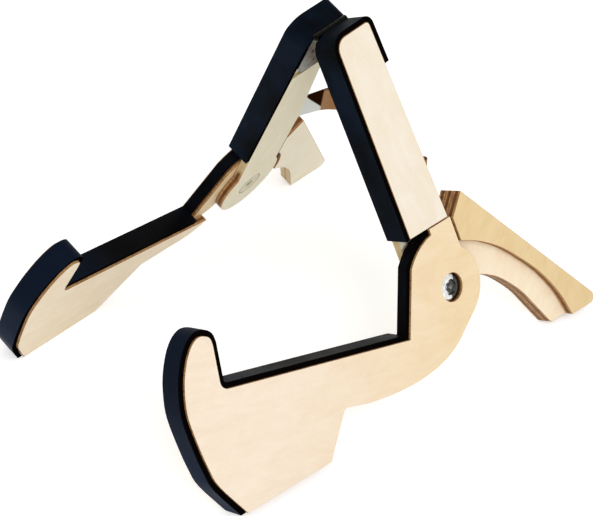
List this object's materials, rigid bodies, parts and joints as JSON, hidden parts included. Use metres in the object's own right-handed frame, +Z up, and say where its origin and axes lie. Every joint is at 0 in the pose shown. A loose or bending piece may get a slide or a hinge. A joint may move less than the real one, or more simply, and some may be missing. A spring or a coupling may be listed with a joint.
{
  "type": "folding instrument stand",
  "caption": "Folding plywood floor stand for a stringed instrument: hinged tent of posts with hooked cradle arms, rear legs, rubber edges and a leather strap.",
  "frame": {"origin": "on the floor, in the middle of the box round the opened stand", "axes": "+Z up; the hooks face -Y and the rear legs +Y; +X towards the right half, seen from the front"},
  "size_m": [0.2376, 0.3118, 0.1999],
  "materials": {
    "birch_plywood": "satin, laser-cut edges",
    "rubber": "matt",
    "steel": "zinc plated",
    "leather": "smooth"
  },
  "bodies": {
    "right_post": {"hinge_pin": "steel", "right_hinge_leaf": "steel", "right_hinge_screw_1": "steel", "right_hinge_screw_2": "steel", "right_hinge_screw_3": "steel", "right_pivot_bolt": "steel", "right_post_inner": "birch_plywood", "right_post_middle": "birch_plywood", "right_post_outer": "birch_plywood", "right_post_rubber": "rubber", "right_sleeve_nut": "steel", "strap": "leather"},
    "right_arm": {"right_arm_inner": "birch_plywood", "right_arm_middle": "birch_plywood", "right_arm_outer": "birch_plywood", "right_arm_rubber": "rubber"},
    "right_leg": {"right_leg_inner": "birch_plywood", "right_leg_middle": "birch_plywood", "right_leg_outer": "birch_plywood"},
    "left_post": {"left_hinge_leaf": "steel", "left_hinge_screw_1": "steel", "left_hinge_screw_2": "steel", "left_hinge_screw_3": "steel", "left_pivot_bolt": "steel", "left_post_inner": "birch_plywood", "left_post_middle": "birch_plywood", "left_post_outer": "birch_plywood", "left_post_rubber": "rubber", "left_sleeve_nut": "steel"},
    "left_arm": {"left_arm_inner": "birch_plywood", "left_arm_middle": "birch_plywood", "left_arm_outer": "birch_plywood", "left_arm_rubber": "rubber"},
    "left_leg": {"left_leg_inner": "birch_plywood", "left_leg_middle": "birch_plywood", "left_leg_outer": "birch_plywood"}
  },
  "joints": [
    {"name": "right_arm_fold", "type": "hinge", "parent": "right_post", "child": "right_arm", "pos_m": [0.07126, 0.03817, 0.04937], "axis": [0.8973, -0.0781, 0.4345], "range_deg": [-67, 0]},
    {"name": "right_leg_fold", "type": "hinge", "parent": "right_arm", "child": "right_leg", "pos_m": [0.07126, 0.03817, 0.04937], "axis": [0.8973, -0.0781, 0.4345], "range_deg": [-123, 0]},
    {"name": "left_arm_fold", "type": "hinge", "parent": "left_post", "child": "left_arm", "pos_m": [-0.07126, 0.03817, 0.04937], "axis": [0.8973, 0.0781, -0.4345], "range_deg": [-67, 0]},
    {"name": "left_leg_fold", "type": "hinge", "parent": "left_arm", "child": "left_leg", "pos_m": [-0.07126, 0.03817, 0.04937], "axis": [0.8973, 0.0781, -0.4345], "range_deg": [-123, 0]},
    {"name": "top_hinge", "type": "hinge", "parent": "right_post", "child": "left_post", "pos_m": [0, 0.01255, 0.1919], "axis": [0, 0.9842, 0.1769], "range_deg": [-52.4, 0], "deforming": ["strap"]}
  ]
}
